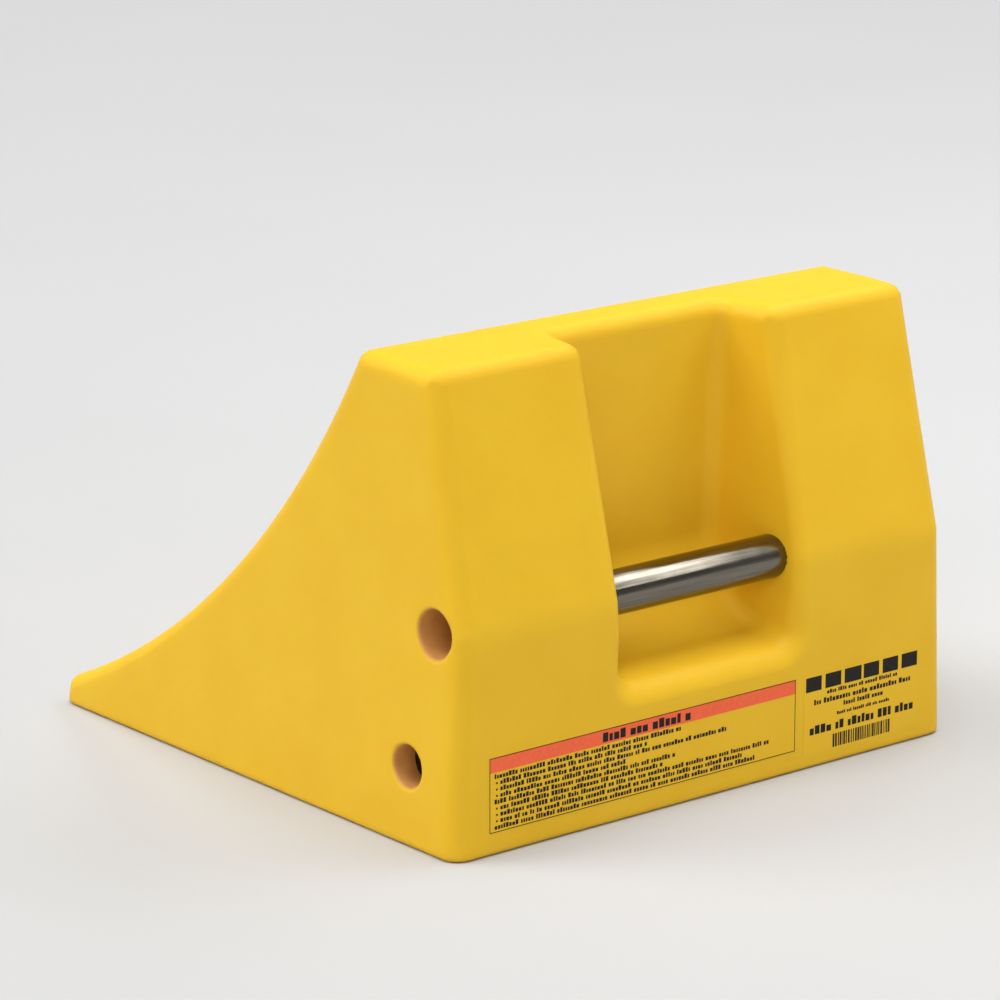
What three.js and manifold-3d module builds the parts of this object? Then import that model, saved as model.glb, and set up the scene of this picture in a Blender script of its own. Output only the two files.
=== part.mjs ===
// Wheel chock for large trucks: one cast polyurethane wedge with a polished steel handle bar across a
// hand pocket in its back, a second steel bar cast in lower down, and two printed labels.
// Millimetres. X runs across the chock along the bars, -Y is the toe that goes under the tyre,
// +Y is the back, +Z is up. The origin is on the ground, in the middle of the footprint.
import * as THREE from "three";
import { mergeVertices } from "three/addons/utils/BufferGeometryUtils.js";
import Module from "manifold-3d";

// Driving dimensions of the wedge
const WIDTH = 368; // across the base
const LENGTH = 374; // toe to back
const HEIGHT = 265;
const SIDE_DRAFT = 0.04; // how far each side leans in per mm of height
const EDGE_RADIUS = 9; // every moulded edge above the ground
const BASE_RADIUS = 4; // the edges along the ground
const TREAD_RADIUS = 549; // the hollow curve that meets the tyre
const NOSE_INSET = 2; // how far the rounded nose stands behind the foot of the toe
const NOSE_CENTRE_Z = 9.5; // height of the middle of the rounded nose
const TOP_FRONT_Y = 96; // middle of the rounding between tread and top
const TOP_BACK_Y = 149.5; // middle of the rounding between top and back
const BREAK_Z = 124; // the back is upright below this height and leans forward above it

// Driving dimensions of the hand pocket, open at the top and the back
const POCKET_FLOOR_Z = 76;
const POCKET_FRONT_Y = 121;
const POCKET_HALF_WIDTH = 63.5; // at the floor, on the back face
const POCKET_SIDE_DRAFT = 0.055; // how far each side wall opens per mm going up
const POCKET_SPLAY = THREE.MathUtils.degToRad(8.5); // how the side walls open towards the back
const POCKET_CORNER_RADIUS = 9;
const POCKET_FLOOR_RADIUS = 40; // between floor and front wall

// Driving dimensions of the steel bars and their bores
const HANDLE_RADIUS = 12.7;
const HANDLE_Y = 164;
const HANDLE_Z = 123.5;
const HANDLE_LENGTH = 290;
const TIE_RADIUS = 11;
const TIE_Y = 144;
const TIE_Z = 45;
const TIE_LENGTH = 336;
const RIM_RADIUS = 3; // rounded mouth of each bore
const GAP = 0.3; // clearance between touching pieces
const BAR_CHAMFER = 1;

// Driving dimensions of the tread ribs
const RIB_COUNT = 10;
const RIB_HALF_LENGTH = 149;
const RIB_RADIUS = 2.5;
const RIB_FIRST_SHARE = 0.085; // share of the tread curve below the lowest rib
const RIB_LAST_SHARE = 0.927; // share of the tread curve below the highest rib

// Driving dimensions of the printed labels on the upright part of the back
const LABEL_THICKNESS = 0.3;
const WARNING_LABEL = { x: 48, z: 34.5, width: 224, height: 43.5 };
const ID_LABEL = { x: -116, z: 32, width: 92, height: 48 };

// Fineness of the round shapes
const TREAD_STEPS = 22;
const CORNER_STEPS = 6;
const BALL_SEGMENTS = 8;
const BORE_SEGMENTS = 32;
const BAR_SEGMENTS = 48;
const RIM_STEPS = 3;
const RIB_SEGMENTS = 12;
const RIB_END_STEPS = 3;
const BASE_STEPS = 4;
const OVERSHOOT = 60; // how far a cutting shape runs past what it cuts
const SLIVER = 0.02; // details smaller than this are joining marks of the rounding, and are merged away

const wasm = await Module();
wasm.setup();

function toSolid(geometry) {
  const bare = geometry.clone();
  bare.deleteAttribute("normal");
  bare.deleteAttribute("uv");
  const merged = mergeVertices(bare, 1e-4);
  return new wasm.Manifold(
    new wasm.Mesh({
      numProp: 3,
      vertProperties: new Float32Array(merged.attributes.position.array),
      triVerts: new Uint32Array(merged.index.array),
    }),
  );
}

function toGeometry(solid) {
  const mesh = solid.getMesh();
  const geometry = new THREE.BufferGeometry();
  geometry.setAttribute("position", new THREE.BufferAttribute(mesh.vertProperties, 3));
  geometry.setIndex(new THREE.BufferAttribute(mesh.triVerts, 1));
  geometry.computeVertexNormals();
  return geometry;
}

// Extrudes a side profile, drawn as (y, z), across the chock.
function extrudeAcross(shape, width, steps) {
  const geometry = new THREE.ExtrudeGeometry(shape, {
    depth: width,
    curveSegments: steps,
    bevelEnabled: false,
  });
  geometry.translate(0, 0, -width / 2);
  // (x, y, z) of the extrusion becomes (y, z, x) of the chock
  return geometry.applyMatrix4(new THREE.Matrix4().set(0, 0, 1, 0, 1, 0, 0, 0, 0, 1, 0, 0, 0, 0, 0, 1));
}

// Moves the points of a geometry to scaled places: x times widthScale(z).
function taperAcross(geometry, widthScale) {
  const position = geometry.attributes.position;
  for (let i = 0; i < position.count; i += 1) {
    position.setX(i, position.getX(i) * widthScale(position.getZ(i)));
  }
  return geometry;
}

// The tread curve one edge radius inside the skin, as centre, radius and the two end angles.
const treadStart = new THREE.Vector2(-LENGTH / 2 + NOSE_INSET + EDGE_RADIUS, NOSE_CENTRE_Z);
const treadEnd = new THREE.Vector2(TOP_FRONT_Y, HEIGHT - EDGE_RADIUS);
const coreTreadRadius = TREAD_RADIUS + EDGE_RADIUS;
const chord = treadEnd.clone().sub(treadStart);
const treadCentre = treadStart
  .clone()
  .lerp(treadEnd, 0.5)
  .add(
    new THREE.Vector2(-chord.y, chord.x)
      .normalize()
      .multiplyScalar(Math.sqrt(coreTreadRadius ** 2 - (chord.length() / 2) ** 2)),
  );
const angleOf = (point) => Math.atan2(point.y - treadCentre.y, point.x - treadCentre.x);
const startAngle = angleOf(treadStart);
const endAngle = angleOf(treadEnd);

// The core is the wedge one edge radius inside its skin. It runs on below the ground, where it is cut off.
function makeCore() {
  const depthBelow = 4 * EDGE_RADIUS;
  const toeSlope = NOSE_INSET / NOSE_CENTRE_Z;
  const coreWidth = WIDTH - 2 * EDGE_RADIUS;
  const shape = new THREE.Shape();
  shape.moveTo(treadStart.x - toeSlope * (NOSE_CENTRE_Z + depthBelow), -depthBelow);
  shape.lineTo(LENGTH / 2 - EDGE_RADIUS, -depthBelow);
  shape.lineTo(LENGTH / 2 - EDGE_RADIUS, BREAK_Z);
  shape.lineTo(TOP_BACK_Y, HEIGHT - EDGE_RADIUS);
  shape.lineTo(treadEnd.x, treadEnd.y);
  shape.absarc(treadCentre.x, treadCentre.y, coreTreadRadius, endAngle, startAngle, true);
  const geometry = extrudeAcross(shape, coreWidth, TREAD_STEPS);
  return toSolid(taperAcross(geometry, (z) => 1 - (2 * SIDE_DRAFT * z) / coreWidth));
}

// The pocket grown by one edge radius, to be cut from the core: its plan shape, which has the splayed
// side walls and the round corners, crossed with its side profile, which has the floor.
function makePocket() {
  const back = LENGTH / 2;
  const beyond = back + OVERSHOOT;
  const above = HEIGHT + OVERSHOOT;
  const floor = POCKET_FLOOR_Z - EDGE_RADIUS;
  const front = POCKET_FRONT_Y - EDGE_RADIUS;
  const slope = Math.tan(POCKET_SPLAY);
  const halfAt = (y) => POCKET_HALF_WIDTH + (y - back) * slope + EDGE_RADIUS / Math.cos(POCKET_SPLAY);

  const cornerRadius = POCKET_CORNER_RADIUS + EDGE_RADIUS;
  const turn = Math.PI / 2 - POCKET_SPLAY;
  const cornerX = halfAt(front) - cornerRadius * Math.tan(turn / 2);
  const cornerY = front + cornerRadius;
  const plan = new THREE.Shape();
  plan.moveTo(-cornerX, front);
  plan.lineTo(cornerX, front);
  plan.absarc(cornerX, cornerY, cornerRadius, -Math.PI / 2, -Math.PI / 2 + turn, false);
  plan.lineTo(halfAt(beyond), beyond);
  plan.lineTo(-halfAt(beyond), beyond);
  plan.absarc(-cornerX, cornerY, cornerRadius, -Math.PI / 2 - turn, -Math.PI / 2, false);
  const prism = new THREE.ExtrudeGeometry(plan, {
    depth: above - floor,
    curveSegments: CORNER_STEPS,
    bevelEnabled: false,
  });
  prism.translate(0, 0, floor);
  taperAcross(prism, (z) => 1 + (POCKET_SIDE_DRAFT * (z - floor)) / POCKET_HALF_WIDTH);

  const floorRadius = POCKET_FLOOR_RADIUS + EDGE_RADIUS;
  const profile = new THREE.Shape();
  profile.moveTo(front, above);
  profile.lineTo(front, floor + floorRadius);
  profile.absarc(front + floorRadius, floor + floorRadius, floorRadius, Math.PI, 1.5 * Math.PI, false);
  profile.lineTo(beyond, floor);
  profile.lineTo(beyond, above);
  return toSolid(prism).intersect(toSolid(extrudeAcross(profile, WIDTH, CORNER_STEPS)));
}

// Everything above the ground, with the edges along the ground rounded.
function makeGroundEnvelope() {
  const halfX = WIDTH / 2 + GAP;
  const halfY = LENGTH / 2 + GAP;
  const r = EDGE_RADIUS;
  const shape = new THREE.Shape();
  shape.moveTo(-halfX + r, -halfY);
  shape.lineTo(halfX - r, -halfY);
  shape.absarc(halfX - r, -halfY + r, r, -Math.PI / 2, 0, false);
  shape.absarc(halfX - r, halfY - r, r, 0, Math.PI / 2, false);
  shape.absarc(-halfX + r, halfY - r, r, Math.PI / 2, Math.PI, false);
  shape.absarc(-halfX + r, -halfY + r, r, Math.PI, 1.5 * Math.PI, false);
  const geometry = new THREE.ExtrudeGeometry(shape, {
    depth: HEIGHT + OVERSHOOT,
    curveSegments: CORNER_STEPS,
    bevelSize: BASE_RADIUS,
    bevelThickness: BASE_RADIUS,
    bevelOffset: -BASE_RADIUS,
    bevelSegments: BASE_STEPS,
  });
  geometry.translate(0, 0, BASE_RADIUS);
  return toSolid(geometry);
}

// Half the width of the wedge at a height above the ground.
const halfWidthAt = (z) => WIDTH / 2 - SIDE_DRAFT * z;

// A bore right through the chock for a bar of the given radius, with rounded mouths square to the sides.
function makeBore(barRadius, y, z) {
  const radius = barRadius + GAP;
  const bore = new THREE.CylinderGeometry(radius, radius, WIDTH + OVERSHOOT, BORE_SEGMENTS);
  bore.rotateZ(Math.PI / 2).translate(0, y, z);
  const mouthProfile = [new THREE.Vector2(0, -2 * RIM_RADIUS), new THREE.Vector2(radius, -2 * RIM_RADIUS)];
  for (let i = 0; i <= RIM_STEPS; i += 1) {
    const angle = (i / RIM_STEPS) * (Math.PI / 2);
    mouthProfile.push(
      new THREE.Vector2(
        radius + RIM_RADIUS * (1 - Math.cos(angle)),
        -RIM_RADIUS + RIM_RADIUS * Math.sin(angle),
      ),
    );
  }
  const mouthRadius = radius + RIM_RADIUS;
  mouthProfile.push(new THREE.Vector2(mouthRadius, RIM_RADIUS), new THREE.Vector2(0, RIM_RADIUS));
  const lean = Math.atan(SIDE_DRAFT);
  const mouths = [1, -1].map((side) => {
    const mouth = new THREE.LatheGeometry(mouthProfile, BORE_SEGMENTS);
    mouth.rotateZ(side * (lean - Math.PI / 2)).translate(side * halfWidthAt(z), y, z);
    return toSolid(mouth);
  });
  return mouths.reduce((all, mouth) => all.add(mouth), toSolid(bore));
}

// A round bar along X with a small chamfer at each end.
function makeBar(radius, length) {
  const half = length / 2;
  const profile = [
    new THREE.Vector2(0, -half),
    new THREE.Vector2(radius - BAR_CHAMFER, -half),
    new THREE.Vector2(radius, -half + BAR_CHAMFER),
    new THREE.Vector2(radius, half - BAR_CHAMFER),
    new THREE.Vector2(radius - BAR_CHAMFER, half),
    new THREE.Vector2(0, half),
  ];
  return new THREE.LatheGeometry(profile, BAR_SEGMENTS).rotateZ(Math.PI / 2);
}

// One half-round rib across the tread at a share of the way up the curve.
function makeRib(share) {
  const angle = THREE.MathUtils.lerp(startAngle, endAngle, share);
  const straight = 2 * (RIB_HALF_LENGTH - RIB_RADIUS);
  const rib = new THREE.CapsuleGeometry(RIB_RADIUS, straight, RIB_END_STEPS, RIB_SEGMENTS);
  rib.rotateZ(Math.PI / 2).translate(
    0,
    treadCentre.x + TREAD_RADIUS * Math.cos(angle),
    treadCentre.y + TREAD_RADIUS * Math.sin(angle),
  );
  return toSolid(rib);
}

function makeBody() {
  const core = makeCore().subtract(makePocket());
  const ball = toSolid(new THREE.SphereGeometry(EDGE_RADIUS, 2 * BALL_SEGMENTS, BALL_SEGMENTS));
  const ribs = Array.from({ length: RIB_COUNT }, (_, i) =>
    makeRib(THREE.MathUtils.lerp(RIB_FIRST_SHARE, RIB_LAST_SHARE, i / (RIB_COUNT - 1))),
  );
  const wedge = core.minkowskiSum(ball).simplify(SLIVER).intersect(makeGroundEnvelope());
  const ribbed = ribs.reduce((all, rib) => all.add(rib), wedge);
  return ribbed
    .subtract(makeBore(HANDLE_RADIUS, HANDLE_Y, HANDLE_Z))
    .subtract(makeBore(TIE_RADIUS, TIE_Y, TIE_Z));
}

const urethane = new THREE.MeshStandardMaterial({ color: 0xf5c60a, roughness: 0.45, metalness: 0 });
const steel = new THREE.MeshStandardMaterial({ color: 0x6f6a63, roughness: 0.28, metalness: 1 });
const agedSteel = new THREE.MeshStandardMaterial({ color: 0x4c4038, roughness: 0.5, metalness: 1 });
const labelFilm = new THREE.MeshStandardMaterial({ color: 0xe0623f, roughness: 0.4, metalness: 0 });
const plateFilm = new THREE.MeshStandardMaterial({ color: 0x1c1a18, roughness: 0.4, metalness: 0 });

const chock = new THREE.Group();

function place(name, geometry, material, x, y, z) {
  const mesh = new THREE.Mesh(geometry, material);
  mesh.name = name;
  mesh.position.set(x, y, z);
  chock.add(mesh);
}

place("chock_body", toGeometry(makeBody()), urethane, 0, 0, 0);
place("handle_bar", makeBar(HANDLE_RADIUS, HANDLE_LENGTH), steel, 0, HANDLE_Y, HANDLE_Z);
place("tie_bar", makeBar(TIE_RADIUS, TIE_LENGTH), agedSteel, 0, TIE_Y, TIE_Z);

const labelY = LENGTH / 2 + GAP + LABEL_THICKNESS / 2;
for (const [name, label, film] of [
  ["warning_label", WARNING_LABEL, labelFilm],
  ["id_label", ID_LABEL, plateFilm],
]) {
  const sheet = new THREE.BoxGeometry(label.width, LABEL_THICKNESS, label.height);
  place(name, sheet, film, label.x, labelY, label.z);
}

export default chock;
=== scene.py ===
"""Looks of the wheel chock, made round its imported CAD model.

Metres, in the part's own frame: X runs across the chock along its steel bars, -Y is the toe, +Y is the
back with the hand pocket, +Z is up, and the origin is on the ground in the middle of the footprint.
"""

import math
import random

import bmesh
import bpy
import numpy as np
from mathutils import Matrix, Vector


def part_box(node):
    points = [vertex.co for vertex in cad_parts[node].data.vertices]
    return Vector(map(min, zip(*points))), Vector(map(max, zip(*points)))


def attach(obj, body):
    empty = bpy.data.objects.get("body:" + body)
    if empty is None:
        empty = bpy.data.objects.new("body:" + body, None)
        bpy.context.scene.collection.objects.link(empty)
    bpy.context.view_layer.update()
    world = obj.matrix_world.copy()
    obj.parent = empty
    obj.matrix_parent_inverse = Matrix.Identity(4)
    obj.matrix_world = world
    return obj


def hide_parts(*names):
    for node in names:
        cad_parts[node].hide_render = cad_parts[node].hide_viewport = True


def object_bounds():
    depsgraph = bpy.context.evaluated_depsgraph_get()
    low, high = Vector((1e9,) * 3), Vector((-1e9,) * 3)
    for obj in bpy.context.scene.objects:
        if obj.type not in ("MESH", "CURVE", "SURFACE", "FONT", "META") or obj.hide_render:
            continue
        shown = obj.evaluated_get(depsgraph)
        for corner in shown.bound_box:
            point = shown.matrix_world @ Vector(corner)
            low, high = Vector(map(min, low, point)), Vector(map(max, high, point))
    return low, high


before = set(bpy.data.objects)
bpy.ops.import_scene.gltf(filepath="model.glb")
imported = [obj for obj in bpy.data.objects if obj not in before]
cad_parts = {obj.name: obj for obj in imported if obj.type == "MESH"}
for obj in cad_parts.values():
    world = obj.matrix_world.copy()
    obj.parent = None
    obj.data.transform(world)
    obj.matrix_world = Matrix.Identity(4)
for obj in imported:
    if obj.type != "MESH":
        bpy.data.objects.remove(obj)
cad_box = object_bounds()

MM = 0.001

# Sizes that the frame gives
BODY_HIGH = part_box("chock_body")[1]
HALF_LENGTH = BODY_HIGH.y
HEIGHT = BODY_HIGH.z
BARS = (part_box("handle_bar"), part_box("tie_bar"))

# The wedge, whose sides lean in from HALF_WIDTH at the ground. A BLEND is where one radius becomes another.
HALF_WIDTH = 184 * MM
SIDE_DRAFT = 0.04
TREAD_RADIUS = 549 * MM
EDGE_RADIUS = 9 * MM
REAR_EDGE_RADIUS = 12 * MM
REAR_EDGE_BLEND = (120 * MM, 170 * MM)
BASE_RADIUS = 3.5 * MM
NOSE_LEAN = 2 / 9.5
NOSE_CENTRE = (-HALF_LENGTH + 11 * MM, 9.5 * MM)
TOP_FRONT = (96 * MM, HEIGHT - EDGE_RADIUS)
TOP_BACK = (149.5 * MM, HEIGHT - EDGE_RADIUS)
BREAK = (HALF_LENGTH - EDGE_RADIUS, 124 * MM)
BREAK_RADIUS = 60 * MM

# Inner angles of the wedge's outline, in degrees
BREAK_ANGLE = 168
TREAD_TO_TOP_ANGLE = 119
TOP_TO_BACK_ANGLE = 102
TREAD_TO_NOSE_ANGLE = 125

# The hand pocket. The ears are the walls beside it, and the lip is the edge of its floor at the back.
POCKET_FLOOR = 73.5 * MM
POCKET_FLOOR_SLOPE = math.tan(math.radians(15))
POCKET_FRONT = 121 * MM
POCKET_HALF_WIDTH = 63.4 * MM
POCKET_SPLAY = math.tan(math.radians(8.5))
POCKET_SIDE_DRAFT = 0.055
POCKET_FLOOR_RADIUS = 40 * MM
POCKET_CORNER_RADIUS = 9 * MM
EAR_RADIUS = 7 * MM
EAR_TOP_RADIUS = 10 * MM
EAR_TOP_BLEND = (130 * MM, HEIGHT)
EAR_BLEND = (42 * MM, 60 * MM)
LIP_RADIUS = 10.5 * MM
LIP_BLEND = (108 * MM, 84 * MM)

# The bores for the bars, which grip the bars up to BORE_START on each side of the middle
BORE_START = 100 * MM
BORE_GRIP = 1.8 * MM
BORE_GRIP_BLEND = (120 * MM, BORE_START)
BORE_FLARE = 1.1 * MM
BORE_FLARE_BLEND = (150 * MM, HALF_WIDTH)
RIM_RADIUS = 2 * MM
INNER_RIM_RADIUS = 0.6 * MM
RIM_BLEND = (110 * MM, 150 * MM)
# Width over which the painted shade inside the side holes fades out
BORE_SHADE_FADE = 1.4 * MM

# The ribs on the tread
RIB_COUNT = 10
RIB_HALF_LENGTH = 149 * MM
RIB_RADIUS = 2.5 * MM
RIB_FOOT_RADIUS = 1 * MM
RIB_FIRST_SHARE = 0.085
RIB_LAST_SHARE = 0.927

# The mesh of the casting: how fast its cells grow away from small shapes, and how it is settled
CELL_GROWTH = 0.42
SLOPE_STEP = 0.05 * MM
LEAST_SLOPE_SQUARED = 0.1


# ---------------------------------------------------------------- the cast body

def tread_centre():
    """Middle (y, z) of the hollow tread curve, from the curve's ends one edge radius inside the skin."""
    start, end = np.array(NOSE_CENTRE), np.array(TOP_FRONT)
    chord = end - start
    length = np.hypot(*chord)
    rise = math.sqrt((TREAD_RADIUS + EDGE_RADIUS) ** 2 - length**2 / 4)
    return (start + end) / 2 + np.array([-chord[1], chord[0]]) / length * rise


CENTRE_Y, CENTRE_Z = tread_centre()


def turn_to(point):
    """Angle of a (y, z) point round the middle of the tread curve."""
    return math.atan2(point[1] - CENTRE_Z, point[0] - CENTRE_Y)


RIB_FIRST = turn_to(NOSE_CENTRE) + RIB_FIRST_SHARE * (turn_to(TOP_FRONT) - turn_to(NOSE_CENTRE))
RIB_LAST = turn_to(NOSE_CENTRE) + RIB_LAST_SHARE * (turn_to(TOP_FRONT) - turn_to(NOSE_CENTRE))
RIB_STEP = (RIB_LAST - RIB_FIRST) / (RIB_COUNT - 1)


def corner(a, b, radius):
    """The overlap of two solids given as distance fields, with their outer corner rounded."""
    reach = np.hypot(np.maximum(a + radius, 0), np.maximum(b + radius, 0))
    return np.minimum(np.maximum(a, b), -radius) + reach


def fillet(a, b, radius):
    """The union of two solids given as distance fields, with their inner corner filled."""
    reach = np.hypot(np.maximum(radius - a, 0), np.maximum(radius - b, 0))
    return np.maximum(np.minimum(a, b), radius) - reach


def true_radius(radius, degrees):
    """The radius that corner() needs to round a corner of this inner angle with this radius."""
    return radius * (1 + math.cos(math.radians(degrees)))


def ramp(value, low, high):
    """0 at low, 1 at high, and smooth between them."""
    t = np.clip((value - low) / (high - low), 0, 1)
    return t * t * (3 - 2 * t)


def plane(u, v, point, direction):
    """Distance of (u, v) in front of the line through point whose outward normal is direction."""
    size = math.hypot(*direction)
    return ((u - point[0]) * direction[0] + (v - point[1]) * direction[1]) / size


def wedge_field(x, y, z):
    """The plain wedge without its pocket, bores and ribs."""
    tread = TREAD_RADIUS - np.hypot(y - CENTRE_Y, z - CENTRE_Z)
    nose = plane(y, z, (-HALF_LENGTH, 0), (-1, NOSE_LEAN))
    lean = (TOP_BACK[1] - BREAK[1], BREAK[0] - TOP_BACK[0])
    leaning_back = plane(y, z, BREAK, lean) - EDGE_RADIUS
    back = corner(y - HALF_LENGTH, leaning_back, true_radius(BREAK_RADIUS, BREAK_ANGLE))
    profile = corner(tread, z - HEIGHT, true_radius(EDGE_RADIUS, TREAD_TO_TOP_ANGLE))
    profile = corner(profile, back, true_radius(EDGE_RADIUS, TOP_TO_BACK_ANGLE))
    profile = corner(profile, nose, true_radius(EDGE_RADIUS, TREAD_TO_NOSE_ANGLE))
    side = plane(np.abs(x), z, (HALF_WIDTH, 0), (1, SIDE_DRAFT))
    side_radius = EDGE_RADIUS + (REAR_EDGE_RADIUS - EDGE_RADIUS) * ramp(y, *REAR_EDGE_BLEND)
    return corner(corner(profile, side, side_radius), -z, BASE_RADIUS)


def pocket_half_width(y, z):
    """Half the width of the hand pocket, which opens towards the back and the top."""
    at_floor = POCKET_HALF_WIDTH + (y - HALF_LENGTH) * POCKET_SPLAY
    return at_floor * (1 + POCKET_SIDE_DRAFT * (z - POCKET_FLOOR) / POCKET_HALF_WIDTH)


def pocket_field(x, y, z):
    """The space of the hand pocket, whose floor drains towards the back."""
    wall = (np.abs(x) - pocket_half_width(y, z)) / math.hypot(1, POCKET_SPLAY)
    floor = plane(y, z, (HALF_LENGTH, POCKET_FLOOR), (-POCKET_FLOOR_SLOPE, -1))
    space = corner(POCKET_FRONT - y, floor, POCKET_FLOOR_RADIUS)
    return corner(space, wall, POCKET_CORNER_RADIUS)


def bore_field(x, y, z, low, high):
    """The round hole that a bar lies in: tighter than the bar inside, and wider near the sides."""
    radius = (high.z - low.z) / 2 - BORE_GRIP * ramp(np.abs(x), *BORE_GRIP_BLEND)
    radius = radius + BORE_FLARE * ramp(np.abs(x), *BORE_FLARE_BLEND)
    return np.hypot(y - (low.y + high.y) / 2, z - (low.z + high.z) / 2) - radius


def body_field(x, y, z):
    """The whole casting: negative inside, zero on its skin, and about the distance to it elsewhere."""
    ear = EAR_RADIUS + (EAR_TOP_RADIUS - EAR_RADIUS) * ramp(z, *EAR_TOP_BLEND)
    mouth = EDGE_RADIUS + (ear - EDGE_RADIUS) * ramp(np.abs(x), *EAR_BLEND)
    mouth = mouth + (LIP_RADIUS - mouth) * ramp(z, *LIP_BLEND)
    solid = corner(wedge_field(x, y, z), -pocket_field(x, y, z), mouth)

    rim = INNER_RIM_RADIUS + (RIM_RADIUS - INNER_RIM_RADIUS) * ramp(np.abs(x), *RIM_BLEND)
    for low, high in BARS:
        solid = corner(solid, -bore_field(x, y, z, low, high), rim)

    angle = np.arctan2(z - CENTRE_Z, y - CENTRE_Y)
    nearest = np.clip(np.round((angle - RIB_FIRST) / RIB_STEP), 0, RIB_COUNT - 1)
    rib_angle = RIB_FIRST + nearest * RIB_STEP
    across = np.maximum(np.abs(x) - RIB_HALF_LENGTH + RIB_RADIUS, 0)
    rib_y = CENTRE_Y + TREAD_RADIUS * np.cos(rib_angle)
    rib_z = CENTRE_Z + TREAD_RADIUS * np.sin(rib_angle)
    rib = np.sqrt((y - rib_y) ** 2 + (z - rib_z) ** 2 + across**2) - RIB_RADIUS
    return fillet(solid, rib, RIB_FOOT_RADIUS)


def stations(low, high, coarse, zones):
    """Places from low to high, coarse apart, but closer in each zone, given as (middle, reach, step)."""
    places = [low]
    while places[-1] < high:
        steps = [coarse]
        for middle, reach, step in zones:
            outside = max(abs(places[-1] - middle) - reach, 0)
            steps.append(step + CELL_GROWTH * outside)
        places.append(places[-1] + min(steps))
    return np.array(places)


def body_grid():
    """Places across (x), away from the middle of the tread curve (r) and round it (t)."""
    coarse_x, coarse_r, coarse_t = 6.5 * MM, 4.2 * MM, 4.5 * MM / TREAD_RADIUS
    margin = 5 * MM

    side_zone = (HALF_WIDTH - 7 * MM, 8 * MM, 1.5 * MM)
    pocket_zone = (62 * MM, 12 * MM, 2.1 * MM)
    rib_end_zone = (RIB_HALF_LENGTH, 3 * MM, 0.9 * MM)
    half_x = stations(0, HALF_WIDTH + margin, coarse_x, [side_zone, pocket_zone, rib_end_zone])
    x = np.concatenate([-half_x[:0:-1], half_x])

    rib_reach, rib_step = 3.2 * MM, 0.85 * MM
    r_zones = [(TREAD_RADIUS, rib_reach, rib_step)]
    t_zones = []
    for i in range(RIB_COUNT):
        t_zones.append((RIB_FIRST + i * RIB_STEP, rib_reach / TREAD_RADIUS, rib_step / TREAD_RADIUS))

    bore_reach, bore_step = 16 * MM, 2.1 * MM
    for low, high in BARS:
        middle = ((low.y + high.y) / 2, (low.z + high.z) / 2)
        away = math.hypot(middle[0] - CENTRE_Y, middle[1] - CENTRE_Z)
        r_zones.append((away, bore_reach, bore_step))
        t_zones.append((turn_to(middle), bore_reach / away, bore_step / away))

    nearest = TREAD_RADIUS - 10 * MM
    furthest = math.hypot(HALF_LENGTH - CENTRE_Y, CENTRE_Z) + 8 * MM
    r = stations(nearest, furthest, coarse_r, r_zones)
    first = turn_to((-HALF_LENGTH - margin, -margin))
    last = turn_to((HALF_LENGTH, HEIGHT + 25 * MM))
    t = stations(first, last, coarse_t, t_zones)
    return x, r, t


def from_grid(x, r, t):
    """The (x, y, z) place of grid coordinates."""
    return x, CENTRE_Y + r * np.cos(t), CENTRE_Z + r * np.sin(t)


def slope(field, points):
    """The field's gradient at points."""
    parts = []
    for axis in np.eye(3) * SLOPE_STEP:
        rise = field(*(points + axis).T) - field(*(points - axis).T)
        parts.append(rise / (2 * SLOPE_STEP))
    return np.stack(parts, 1)


def settle(points, field, rounds):
    """Moves points onto the zero surface of the field."""
    for _ in range(rounds):
        gradient = slope(field, points)
        size = np.maximum((gradient**2).sum(1), LEAST_SLOPE_SQUARED)
        points = points - gradient * (field(*points.T) / size)[:, None]
    return points


def surface_net(field, axes, place):
    """Points and quads of the field's zero surface: one point in each grid cell that it crosses."""
    values = field(*place(*np.meshgrid(*axes, indexing="ij")))
    cells = np.array(values.shape) - 1
    sums = np.zeros((cells.prod(), 3))
    counts = np.zeros(cells.prod())
    rings = []
    for axis in range(3):
        near = np.delete(values, -1, axis)
        far = np.delete(values, 0, axis)
        crossed = (near < 0) != (far < 0)
        start = np.argwhere(crossed)
        crossing = start.astype(float)
        crossing[:, axis] += near[crossed] / (near[crossed] - far[crossed])
        u, v = (axis + 1) % 3, (axis + 2) % 3
        ring = []
        for step_u, step_v in ((-1, -1), (0, -1), (0, 0), (-1, 0)):
            cell = start.copy()
            cell[:, u] += step_u
            cell[:, v] += step_v
            ring.append(np.ravel_multi_index(cell.T, cells))
            np.add.at(sums, ring[-1], crossing)
            np.add.at(counts, ring[-1], 1)
        ring = np.stack(ring, 1)
        inwards = near[crossed] > 0
        ring[inwards] = ring[inwards, ::-1]
        rings.append(ring)
    used = np.flatnonzero(counts)
    index = sums[used] / counts[used, None]
    along = [np.interp(index[:, k], np.arange(len(axes[k])), axes[k]) for k in range(3)]
    number = np.zeros(len(counts), int)
    number[used] = np.arange(len(used))
    return np.stack(place(*along), 1), number[np.concatenate(rings)]


def relax(points, quads, field, rounds):
    """Evens out the points along the surface."""
    starts = quads.ravel()
    ends = np.roll(quads, -1, axis=1).ravel()
    share = np.bincount(starts)[:, None]
    for _ in range(rounds):
        around = np.stack([np.bincount(starts, points[ends, k]) for k in range(3)], 1) / share
        points = settle((points + around) / 2, field, rounds=1)
    return points


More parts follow.
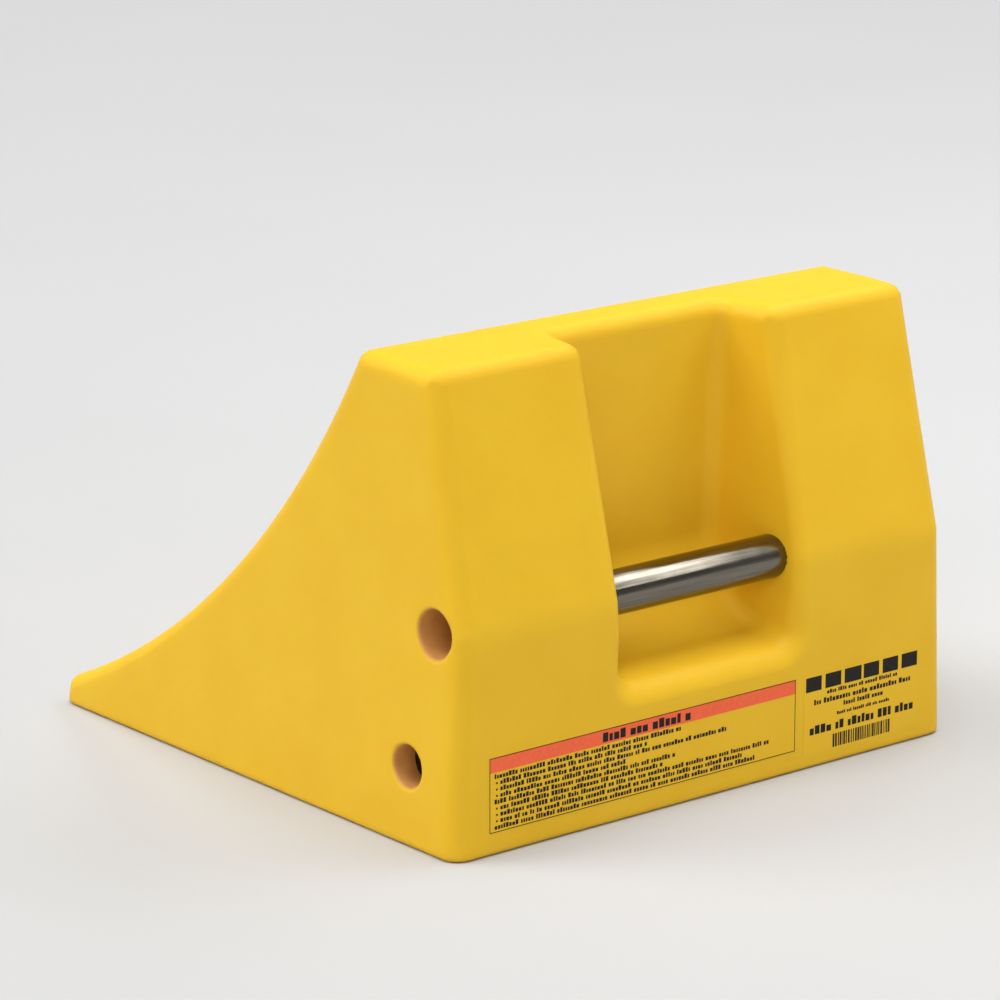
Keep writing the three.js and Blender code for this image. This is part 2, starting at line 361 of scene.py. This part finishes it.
def make_body():
    """The casting as one smooth mesh."""
    points, quads = surface_net(body_field, body_grid(), from_grid)
    points = settle(points, body_field, rounds=3)
    points = relax(points, quads, body_field, rounds=2)
    points = settle(points, body_field, rounds=2)
    mesh = bpy.data.meshes.new("urethane_body")
    mesh.from_pydata(points.tolist(), [], quads.tolist())
    mesh.shade_smooth()
    normals = slope(body_field, points)
    normals /= np.linalg.norm(normals, axis=1)[:, None]
    mesh.normals_split_custom_set_from_vertices(normals.tolist())
    return add_piece(mesh, ["chock_body"])


# ---------------------------------------------------------------- helpers for pieces

def add_piece(mesh, replaced):
    """Puts a finished mesh in the scene as a piece that rides on the chock and replaces CAD nodes."""
    piece = bpy.data.objects.new(mesh.name, mesh)
    bpy.context.scene.collection.objects.link(piece)
    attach(piece, "root")
    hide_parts(*replaced)
    return piece


def lathe(name, profile, segments):
    """A closed round mesh about the X axis from (x, radius) points that start and end on the axis."""
    turns = [2 * math.pi * i / segments for i in range(segments)]
    bm = bmesh.new()
    rings = []
    for along, radius in profile:
        places = [(radius * math.cos(a), radius * math.sin(a)) for a in turns] if radius else [(0, 0)]
        rings.append([bm.verts.new((along, y, z)) for y, z in places])
    for near, far in zip(rings, rings[1:]):
        for i in range(segments):
            j = (i + 1) % segments
            around = [near[i % len(near)], near[j % len(near)], far[j % len(far)], far[i % len(far)]]
            bm.faces.new(list(dict.fromkeys(around)))
    bmesh.ops.recalc_face_normals(bm, faces=bm.faces)
    mesh = bpy.data.meshes.new(name)
    bm.to_mesh(mesh)
    bm.free()
    return mesh


# ---------------------------------------------------------------- the steel bars

BAR_SEGMENTS = 96
BAR_EDGE_STEPS = 5
BAR_END_RING = 0.5


def make_bar(name, node, edge):
    """A round bar with a small rounded edge at each end, where its CAD node lies."""
    low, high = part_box(node)
    half = (high.x - low.x) / 2
    radius = (high.z - low.z) / 2
    end = [(half, 0), (half, radius * BAR_END_RING)]
    for i in range(BAR_EDGE_STEPS + 1):
        a = math.pi / 2 * i / BAR_EDGE_STEPS
        end.append((half - edge + edge * math.cos(a), radius - edge + edge * math.sin(a)))
    mesh = lathe(name, end + [(-x, r) for x, r in reversed(end)], BAR_SEGMENTS)
    mesh.transform(Matrix.Translation((low + high) / 2))
    mesh.shade_smooth()
    return add_piece(mesh, [node])


# ---------------------------------------------------------------- the labels

FILM_FACE = HALF_LENGTH + 0.12 * MM
FILM_CORNER_RADIUS = 1.5 * MM
FILM_CORNER_STEPS = 4
INK_THICKNESS = 0.05 * MM
INK_MARGIN = 0.02 * MM
FILM, DARK_INK, RED_INK = range(3)

# Shapes of a line of blocks, as shares of the line's height, and how many blocks lie in a group
BLOCK_WIDTHS = (0.45, 0.6, 0.7)
BLOCK_HEIGHTS = (0.72, 0.78, 1)
BLOCK_GAP = 0.16
GROUP_GAP = 0.5
FIRST_GROUP = (3, 9)
NEXT_GROUP = (2, 9)

# The safety label: its frame, its red band with a title of blocks, and how full each row of blocks is
FRAME_LINE = 0.5 * MM
FRAME_INSET = 0.5 * MM
BAND_HEIGHT = 8 * MM
TITLE_HEIGHT = 5.4 * MM
TITLE_DROP = 6.8 * MM
TITLE_START_SHARE = 0.36
TITLE_SHARE = 0.3
ROW_SHARES = (0.62, 0.5, 0.78, 0.42, 0.6, 0.55, 0.93, 0.84, 0.88)
ROW_PITCH = 3.6 * MM
ROW_HEIGHT = 2.75 * MM
ROW_MARGIN = 4 * MM
ROW_INDENT = 4 * MM
HEADING_EVERY = 4
BULLET_SIZE = 1.2 * MM
BULLET_SHIFT = (1 * MM, 0.5 * MM)

# The clear label: a line of large blocks, rows as (up, across, width, height), and a band of stripes
LARGE_BLOCKS = 6
LARGE_PITCH = 15 * MM
LARGE_WIDTH = 11 * MM
LARGE_HEIGHT = 8.6 * MM
LARGE_START = (1.5 * MM, 38 * MM)
LARGE_SPREAD_MM = 2.4
ID_ROWS_MM = (
    (34.5, 18, 56, 2.4),
    (29.5, 8, 76, 3.2),
    (25.2, 31, 34, 2.8),
    (20.5, 26, 42, 2),
    (12, 5, 82, 5.2),
)
STRIPES_FROM = 23 * MM
STRIPES_TO = 68 * MM
STRIPES_UP = 1.5 * MM
STRIPE_HEIGHT = 8 * MM
STRIPES_MM = (0.5, 0.9, 1.4)
STRIPE_GAPS_MM = (0.5, 0.8)


class Sheet:
    """A printed film on the upright back: a thin plate with raised ink, seen from behind the chock."""

    def __init__(self, name, node):
        self.name = name
        self.node = node
        low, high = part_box(node)
        self.low, self.high = low, high
        self.bm = bmesh.new()
        self.plate(low.x, high.x, low.z, high.z, HALF_LENGTH, FILM_FACE, FILM_CORNER_RADIUS, FILM)

    @property
    def width(self):
        return self.high.x - self.low.x

    @property
    def height(self):
        return self.high.z - self.low.z

    def plate(self, x0, x1, z0, z1, y0, y1, radius, ink):
        """A closed plate, with round corners if it has a radius."""
        steps = FILM_CORNER_STEPS if radius else 0
        outline = []
        for cx, cz, first in (
            (x1 - radius, z1 - radius, 0),
            (x0 + radius, z1 - radius, 1),
            (x0 + radius, z0 + radius, 2),
            (x1 - radius, z0 + radius, 3),
        ):
            for i in range(steps + 1):
                a = math.pi / 2 * (first + i / max(steps, 1))
                outline.append((cx + radius * math.cos(a), cz + radius * math.sin(a)))
        inner = [self.bm.verts.new((x, y0, z)) for x, z in outline]
        outer = [self.bm.verts.new((x, y1, z)) for x, z in outline]
        faces = [self.bm.faces.new(inner), self.bm.faces.new(outer[::-1])]
        for i in range(len(outline)):
            j = (i + 1) % len(outline)
            faces.append(self.bm.faces.new((inner[i], outer[i], outer[j], inner[j])))
        for face in faces:
            face.material_index = ink

    def mark(self, across, up, width, height, ink, layer=0):
        """A plain printed bar, placed from the label's left edge as seen and from its lower edge."""
        x0 = self.high.x - across - width + INK_MARGIN
        x1 = self.high.x - across - INK_MARGIN
        z0 = self.low.z + up + INK_MARGIN
        z1 = self.low.z + up + height - INK_MARGIN
        face = FILM_FACE + layer * INK_THICKNESS
        self.plate(x0, x1, z0, z1, face, face + INK_THICKNESS, 0, ink)

    def blocks(self, across, up, width, height, rng, layer=0):
        """A line of plain blocks in groups, like print seen from too far away to read."""
        place = across
        end = across + width
        left = rng.randint(*FIRST_GROUP)
        while place + height * GROUP_GAP < end:
            size = min(height * rng.choice(BLOCK_WIDTHS), end - place)
            self.mark(place, up, size, height * rng.choice(BLOCK_HEIGHTS), DARK_INK, layer)
            place += size + height * BLOCK_GAP
            left -= 1
            if left == 0:
                place += height * GROUP_GAP
                left = rng.randint(*NEXT_GROUP)

    def finish(self):
        bmesh.ops.recalc_face_normals(self.bm, faces=self.bm.faces)
        mesh = bpy.data.meshes.new(self.name)
        self.bm.to_mesh(mesh)
        self.bm.free()
        return add_piece(mesh, [self.node])


def make_warning_label():
    """A framed film with a red band on top and rows of plain blocks."""
    sheet = Sheet("warning_label_print", "warning_label")
    line = FRAME_LINE
    inset = FRAME_INSET
    width = sheet.width - 2 * inset
    height = sheet.height - 2 * inset
    sheet.mark(inset, inset, width, line, DARK_INK)
    sheet.mark(inset, inset + height - line, width, line, DARK_INK)
    sheet.mark(inset, inset + line, line, height - 2 * line, DARK_INK)
    sheet.mark(inset + width - line, inset + line, line, height - 2 * line, DARK_INK)
    sheet.mark(inset + line, inset + height - line - BAND_HEIGHT, width - 2 * line, BAND_HEIGHT, RED_INK)

    rng = random.Random(3)
    title_up = inset + height - line - TITLE_DROP
    sheet.blocks(TITLE_START_SHARE * width, title_up, TITLE_SHARE * width, TITLE_HEIGHT, rng, layer=1)
    for row, share in enumerate(ROW_SHARES):
        up = inset + height - BAND_HEIGHT - line - (row + 1) * ROW_PITCH
        start = ROW_MARGIN
        if row % HEADING_EVERY:
            bullet_across, bullet_up = BULLET_SHIFT
            sheet.mark(ROW_MARGIN + bullet_across, up + bullet_up, BULLET_SIZE, BULLET_SIZE, DARK_INK)
            start += ROW_INDENT
        sheet.blocks(start, up, (width - ROW_MARGIN - start) * share, ROW_HEIGHT, rng)
    return sheet.finish()


def make_id_label():
    """A clear film with a line of large plain blocks, rows of smaller ones and a band of stripes."""
    sheet = Sheet("id_label_print", "id_label")
    rng = random.Random(11)
    across, up = LARGE_START
    for i in range(LARGE_BLOCKS):
        width = LARGE_WIDTH + rng.uniform(0, LARGE_SPREAD_MM) * MM
        sheet.mark(across + i * LARGE_PITCH, up, width, LARGE_HEIGHT, DARK_INK)
    for up, across, width, tall in ID_ROWS_MM:
        sheet.blocks(across * MM, up * MM, width * MM, tall * MM, rng)
    place = STRIPES_FROM
    while place < STRIPES_TO:
        stripe = rng.choice(STRIPES_MM) * MM
        sheet.mark(place, STRIPES_UP, stripe, STRIPE_HEIGHT, DARK_INK)
        place += stripe + rng.choice(STRIPE_GAPS_MM) * MM
    return sheet.finish()


# ---------------------------------------------------------------- materials

# The ranges of noise values that are spread over a colour or a roughness
NARROW = (0.35, 0.65)
WIDE = (0.3, 0.7)

URETHANE = ((0.825, 0.495, 0.020), (0.845, 0.520, 0.024))
# Painted shade inside the side holes: a brown mottled between these two colours
BORE_SHADE = ((0.60, 0.285, 0.080), (0.69, 0.345, 0.10))
POLISHED_STEEL = ((0.13, 0.115, 0.09), (0.22, 0.20, 0.165))
AGED_STEEL = ((0.018, 0.015, 0.012), (0.05, 0.045, 0.04))
FLOOR_PAINT = ((0.50, 0.50, 0.50), (0.52, 0.52, 0.52))
DARK_PRINT = (0.012, 0.010, 0.008)
RED_PRINT = (0.82, 0.13, 0.05)

CAST_ROUGHNESS = (0.40, 0.52)
FILM_ROUGHNESS = (0.34, 0.44)
POLISHED_ROUGHNESS = (0.12, 0.20)
AGED_ROUGHNESS = (0.35, 0.6)
INK_ROUGHNESS = (0.4, 0.55)
LIGHT_DEPTH = 4 * MM
WAVE_DEPTH = 0.5 * MM
GRAIN_DEPTH = 0.03 * MM
STREAK_DEPTH = 0.01 * MM


class Nodes:
    """A new node material with its Principled shader at hand."""

    def __init__(self, name):
        self.material = bpy.data.materials.new(name)
        self.material.use_nodes = True
        self.tree = self.material.node_tree
        self.shader = self.tree.nodes["Principled BSDF"]
        self.place = self.add("ShaderNodeTexCoord").outputs["Object"]

    def add(self, kind, **settings):
        node = self.tree.nodes.new(kind)
        for key, value in settings.items():
            setattr(node, key, value)
        return node

    def link(self, out, into):
        self.tree.links.new(out, into)

    def noise(self, scale, detail=3.0, roughness=0.5, stretch=None):
        """Noise over the part's own coordinates, with scale in cells per metre."""
        node = self.add("ShaderNodeTexNoise")
        node.inputs["Scale"].default_value = scale
        node.inputs["Detail"].default_value = detail
        node.inputs["Roughness"].default_value = roughness
        source = self.place
        if stretch:
            mapping = self.add("ShaderNodeMapping")
            mapping.inputs["Scale"].default_value = stretch
            self.link(source, mapping.inputs["Vector"])
            source = mapping.outputs["Vector"]
        self.link(source, node.inputs["Vector"])
        return node.outputs["Fac"]

    def spread(self, value, low, high, out_low, out_high):
        """Maps value from low..high to out_low..out_high."""
        node = self.add("ShaderNodeMapRange")
        node.inputs["From Min"].default_value = low
        node.inputs["From Max"].default_value = high
        node.inputs["To Min"].default_value = out_low
        node.inputs["To Max"].default_value = out_high
        self.link(value, node.inputs["Value"])
        return node.outputs["Result"]

    def compute(self, operation, *values):
        """One math operation on values."""
        node = self.add("ShaderNodeMath", operation=operation)
        for i, value in enumerate(values):
            self.link(value, node.inputs[i])
        return node.outputs["Value"]

    def mix(self, value, low_colour, high_colour):
        """A colour between two computed colours."""
        node = self.add("ShaderNodeMix", data_type="RGBA")
        for i, source in ((0, value), (6, low_colour), (7, high_colour)):
            self.link(source, node.inputs[i])
        return node.outputs[2]

    def blend(self, value, low_colour, high_colour):
        """A colour between two colours."""
        node = self.add("ShaderNodeMix", data_type="RGBA")
        node.inputs[6].default_value = (*low_colour, 1)
        node.inputs[7].default_value = (*high_colour, 1)
        self.link(value, node.inputs[0])
        return node.outputs[2]

    def bump(self, layers):
        """Bump from (value, depth in metres) layers."""
        last = None
        for value, depth in layers:
            node = self.add("ShaderNodeBump")
            node.inputs["Strength"].default_value = 1
            node.inputs["Distance"].default_value = depth
            self.link(value, node.inputs["Height"])
            if last:
                self.link(last, node.inputs["Normal"])
            last = node.outputs["Normal"]
        self.link(last, self.shader.inputs["Normal"])


def paint_bore_shade(n, colour):
    """Painted shade: the colour turned brown inside the side holes, from BORE_START out to the sides."""
    parts = n.add("ShaderNodeSeparateXYZ")
    n.link(n.place, parts.inputs["Vector"])
    across = n.compute("ABSOLUTE", parts.outputs["X"])
    flat = n.add("ShaderNodeVectorMath", operation="MULTIPLY")
    flat.inputs[1].default_value = (0, 1, 1)
    n.link(n.place, flat.inputs[0])
    outside = []
    for low, high in BARS:
        middle = (low + high) / 2
        edge = (high.z - low.z) / 2 + BORE_FLARE
        away = n.add("ShaderNodeVectorMath", operation="DISTANCE")
        away.inputs[1].default_value = (0, middle.y, middle.z)
        n.link(flat.outputs["Vector"], away.inputs[0])
        outside.append(n.spread(away.outputs["Value"], edge, edge + BORE_SHADE_FADE, 0, 1))
    inboard = n.spread(across, BORE_START, BORE_START + BORE_SHADE_FADE, 1, 0)
    unshaded = n.compute("MAXIMUM", n.compute("MINIMUM", *outside), inboard)
    mottle = n.spread(n.noise(90, 4), *NARROW, 0, 1)
    shaded_colour = n.blend(mottle, *BORE_SHADE)
    return n.mix(unshaded, shaded_colour, colour)


def urethane_material(name, roughness, depth, shaded_bores):
    """Satin safety yellow polyurethane, faintly mottled and grained, that light enters to some depth."""
    n = Nodes(name)
    mottle = n.spread(n.noise(22, 4), *NARROW, 0, 1)
    colour = n.blend(mottle, *URETHANE)
    # Painted shade inside the side holes
    if shaded_bores:
        colour = paint_bore_shade(n, colour)
    n.link(colour, n.shader.inputs["Base Color"])
    n.link(n.spread(n.noise(60, 3), *WIDE, *roughness), n.shader.inputs["Roughness"])
    n.shader.inputs["Specular IOR Level"].default_value = 0.17
    if depth:
        n.shader.inputs["Subsurface Weight"].default_value = 0.25
        n.shader.inputs["Subsurface Radius"].default_value = (1.0, 0.45, 0.08)
        n.shader.inputs["Subsurface Scale"].default_value = depth
    n.bump([(n.noise(14, 2), WAVE_DEPTH), (n.noise(650, 3), GRAIN_DEPTH)])
    return n.material


def steel_material(name, colours, roughness):
    """Drawn steel bar with fine streaks along its length."""
    n = Nodes(name)
    streaks = n.noise(900, 3, 0.6, stretch=(0.02, 1, 1))
    stains = n.noise(70, 4)
    n.link(n.blend(n.spread(streaks, *WIDE, 0, 1), *colours), n.shader.inputs["Base Color"])
    n.shader.inputs["Metallic"].default_value = 1
    n.link(n.spread(stains, *WIDE, *roughness), n.shader.inputs["Roughness"])
    n.bump([(streaks, STREAK_DEPTH)])
    return n.material


def ink_material(name, colour):
    """Printed ink, a little uneven."""
    n = Nodes(name)
    lighter = tuple(c * 1.25 + 0.004 for c in colour)
    n.link(n.blend(n.noise(400, 3), colour, lighter), n.shader.inputs["Base Color"])
    n.link(n.spread(n.noise(150, 2), *WIDE, *INK_ROUGHNESS), n.shader.inputs["Roughness"])
    n.shader.inputs["Specular IOR Level"].default_value = 0.15
    return n.material


# ---------------------------------------------------------------- room, lights and camera

VIEW_AZIMUTH = 140.8
VIEW_ELEVATION = 16.1
VIEW_DISTANCE = 2.65
CAMERA_DROP = 40 * MM
LENS = 163

SUN_DISTANCE = 3
PANEL_DISTANCE = 2
FLOOR_HALF = 30

# Strength of the surround at the horizon and above it, and how high the change reaches
HORIZON_GLOW = 0.75
SKY_GLOW = 0.22
HORIZON_BAND = 0.12


def towards(azimuth, elevation):
    """Unit vector from the chock towards a direction in degrees; azimuth 0 is the toe's side."""
    a, e = math.radians(azimuth), math.radians(elevation)
    return Vector((math.sin(a) * math.cos(e), -math.cos(a) * math.cos(e), math.sin(e)))


def look_at(thing, target):
    """Turns a camera or a light towards a point."""
    thing.rotation_euler = (target - thing.location).to_track_quat("-Z", "Y").to_euler()


def make_camera():
    """The photograph's direction and distance, with a longer lens so that the chock fills the picture."""
    centre = (cad_box[0] + cad_box[1]) / 2
    away = towards(VIEW_AZIMUTH, VIEW_ELEVATION) * VIEW_DISTANCE
    data = bpy.data.cameras.new("camera")
    data.lens = LENS
    camera = bpy.data.objects.new("camera", data)
    bpy.context.scene.collection.objects.link(camera)
    camera.location = away + Vector((0, 0, centre.z - CAMERA_DROP))
    look_at(camera, centre)
    bpy.context.scene.camera = camera


def add_light(name, kind, direction, distance, energy):
    """A light of one of Blender's kinds that looks at the chock from a direction."""
    data = bpy.data.lights.new(name, kind)
    data.energy = energy
    light = bpy.data.objects.new(name, data)
    bpy.context.scene.collection.objects.link(light)
    target = Vector((0, 0, HEIGHT / 2))
    light.location = target + direction * distance
    look_at(light, target)
    return light


def add_sun(name, azimuth, elevation, strength, spread):
    """Light from one side of the room, softened over spread degrees."""
    sun = add_light(name, "SUN", towards(azimuth, elevation), SUN_DISTANCE, strength)
    sun.data.angle = math.radians(spread)


def add_panel(name, azimuth, elevation, watts, width, height, roll=0):
    """A bright rectangle, rolled by some degrees about the line to the chock."""
    panel = add_light(name, "AREA", towards(azimuth, elevation), PANEL_DISTANCE, watts)
    panel.data.shape = "RECTANGLE"
    panel.data.size = width
    panel.data.size_y = height
    panel.rotation_euler.rotate_axis("Z", math.radians(roll))


def make_lights():
    """Soft light from above, on the back and on the toe, and two narrow panels that the bar mirrors."""
    add_sun("ceiling", 140, 86, 2.25, spread=45)
    add_sun("front", 140, 34, 0.75, spread=35)
    add_sun("side", 50, 40, 1.38, spread=35)
    add_panel("strip", 257, 52, 9, 2.4, 0.35)
    add_panel("panel", 236, 43, 6.2, 1.8, 0.22, roll=45)


def make_floor():
    """A wide pale floor."""
    half = FLOOR_HALF
    mesh = bpy.data.meshes.new("floor")
    corners = [(-half, -half, 0), (half, -half, 0), (half, half, 0), (-half, half, 0)]
    mesh.from_pydata(corners, [], [(0, 1, 2, 3)])
    floor = bpy.data.objects.new("floor", mesh)
    bpy.context.scene.collection.objects.link(floor)
    n = Nodes("floor_paint")
    n.link(n.blend(n.noise(3, 2), *FLOOR_PAINT), n.shader.inputs["Base Color"])
    n.shader.inputs["Roughness"].default_value = 0.9
    mesh.materials.append(n.material)


def make_backdrop():
    """A white surround that is pale at the horizon and darker overhead."""
    world = bpy.data.worlds.new("world")
    world.use_nodes = True
    tree = world.node_tree
    background = tree.nodes["Background"]
    background.inputs["Color"].default_value = (1, 1, 1, 1)
    direction = tree.nodes.new("ShaderNodeTexCoord")
    parts = tree.nodes.new("ShaderNodeSeparateXYZ")
    glow = tree.nodes.new("ShaderNodeMapRange")
    glow.inputs["From Max"].default_value = HORIZON_BAND
    glow.inputs["To Min"].default_value = HORIZON_GLOW
    glow.inputs["To Max"].default_value = SKY_GLOW
    tree.links.new(direction.outputs["Generated"], parts.inputs["Vector"])
    tree.links.new(parts.outputs["Z"], glow.inputs["Value"])
    tree.links.new(glow.outputs["Result"], background.inputs["Strength"])
    bpy.context.scene.world = world


def make_room():
    """Everything round the chock, with colours shown as they are."""
    make_floor()
    make_backdrop()
    make_lights()
    bpy.context.scene.view_settings.view_transform = "Standard"


# ---------------------------------------------------------------- the chock

body = make_body()
# The body's colour holds painted shade inside the side holes
body.data.materials.append(urethane_material("urethane", CAST_ROUGHNESS, LIGHT_DEPTH, shaded_bores=True))

handle = make_bar("handle_bar_steel", "handle_bar", edge=1 * MM)
handle.data.materials.append(steel_material("polished_steel", POLISHED_STEEL, POLISHED_ROUGHNESS))
tie = make_bar("tie_bar_steel", "tie_bar", edge=0.8 * MM)
tie.data.materials.append(steel_material("aged_steel", AGED_STEEL, AGED_ROUGHNESS))

film = urethane_material("label_film", FILM_ROUGHNESS, depth=0, shaded_bores=False)
dark_ink = ink_material("dark_ink", DARK_PRINT)
red_ink = ink_material("red_ink", RED_PRINT)
for label in (make_warning_label(), make_id_label()):
    for material in (film, dark_ink, red_ink):
        label.data.materials.append(material)

make_room()
make_camera()
